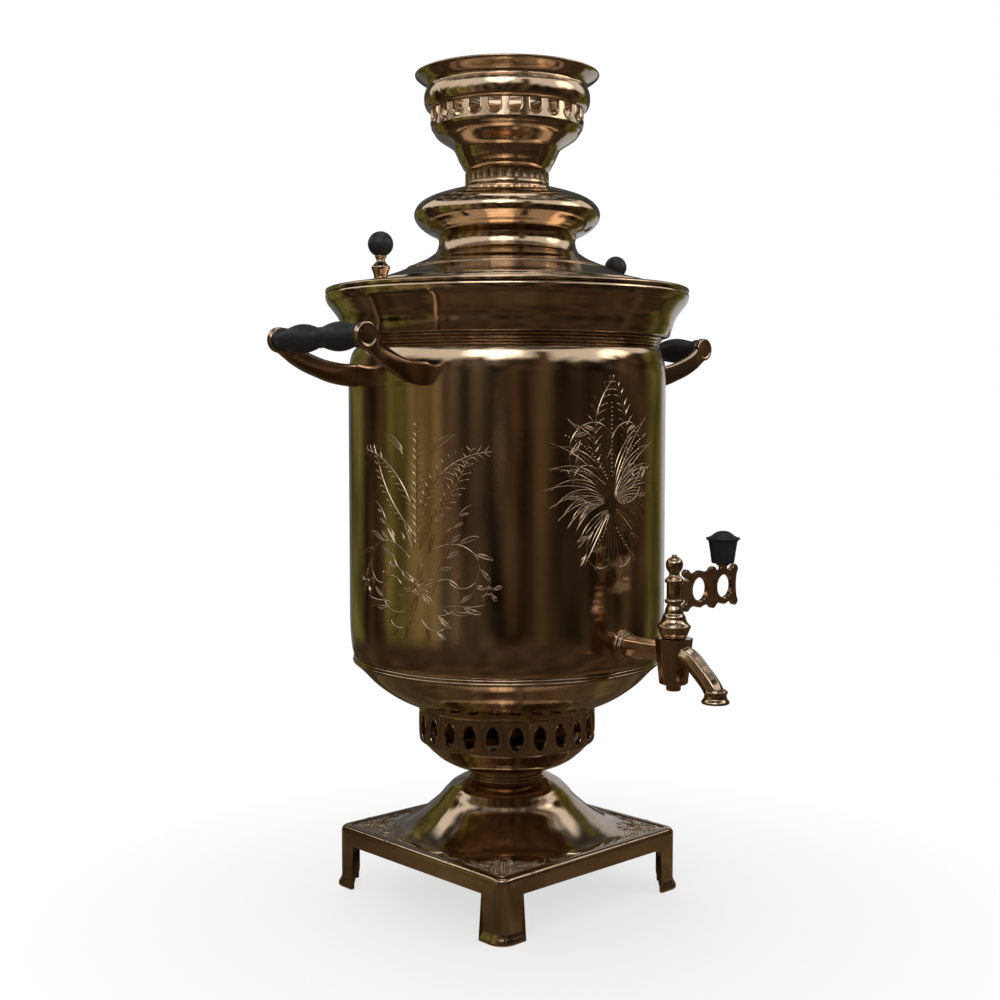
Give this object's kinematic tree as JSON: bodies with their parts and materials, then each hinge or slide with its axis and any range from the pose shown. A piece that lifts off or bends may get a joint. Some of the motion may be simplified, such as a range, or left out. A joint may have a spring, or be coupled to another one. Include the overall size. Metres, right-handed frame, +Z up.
{
  "type": "samovar",
  "caption": "Charcoal samovar in polished brass with a square footed base, pierced crown, black grips and a front tap with a turning key.",
  "frame": {"origin": "on the floor under the middle of the whole outline, 31.5 mm in front of the body's own axis", "axes": "+Z up along the body, the tap points along -Y, the handles and the lid's knobs lie along X"},
  "size_m": [0.3088, 0.293, 0.5202],
  "materials": {
    "brass": "polished copper-rich brass with light patina",
    "cast_brass": "cast and turned brass, polished",
    "tinned": "tinned inner surface, dull",
    "black_wood": "turned wood, black lacquer, satin",
    "iron": "sooty cast iron",
    "steel": "plain rod",
    "fibre": "sealing washer"
  },
  "bodies": {
    "samovar": {"base_plate": "brass", "base_foot_front_left": "brass", "base_foot_front_right": "brass", "base_foot_back_left": "brass", "base_foot_back_right": "brass", "base_neck": "brass", "ash_bowl": "brass", "body_bottom": "brass", "body_band": "brass", "body_shell": "brass", "body_neck_ring": "brass", "body_collar": "brass", "air_ring": "cast_brass", "handle_left_arm_front": "cast_brass", "handle_left_arm_back": "cast_brass", "handle_right_arm_front": "cast_brass", "handle_right_arm_back": "cast_brass", "handle_left_strap": "cast_brass", "handle_right_strap": "cast_brass", "tap_flange": "cast_brass", "tap_body": "cast_brass", "tap_spout": "cast_brass", "tap_nut": "cast_brass", "fire_tube": "tinned", "handle_left_grip": "black_wood", "handle_right_grip": "black_wood", "fire_grate": "iron", "handle_left_rod": "steel", "handle_right_rod": "steel", "tap_washer": "fibre"},
    "tap_turner": {"tap_plug": "cast_brass", "tap_key": "cast_brass", "tap_knob": "black_wood"},
    "lid": {"lid_plate": "brass", "lid_cowl": "brass", "lid_vent": "cast_brass", "lid_stem_left": "cast_brass", "lid_stem_right": "cast_brass", "lid_nut_left": "cast_brass", "lid_nut_right": "cast_brass", "lid_ball_left": "black_wood", "lid_ball_right": "black_wood"},
    "crown": {"crown_bowl": "brass", "crown_gallery": "brass", "crown_rim": "brass", "crown_socket": "cast_brass"}
  },
  "joints": [
    {"name": "tap_turn", "type": "hinge", "parent": "samovar", "child": "tap_turner", "pos_m": [0, -0.108, 0.17], "axis": [0, 0, 1], "range_deg": [-180, 0]},
    {"name": "lid_lift", "type": "slide", "parent": "samovar", "child": "lid", "axis": [0, 0, 1], "range_m": [0, 0.095]},
    {"name": "crown_lift", "type": "slide", "parent": "lid", "child": "crown", "axis": [0, 0, 1], "range_m": [0, 0.04]}
  ]
}
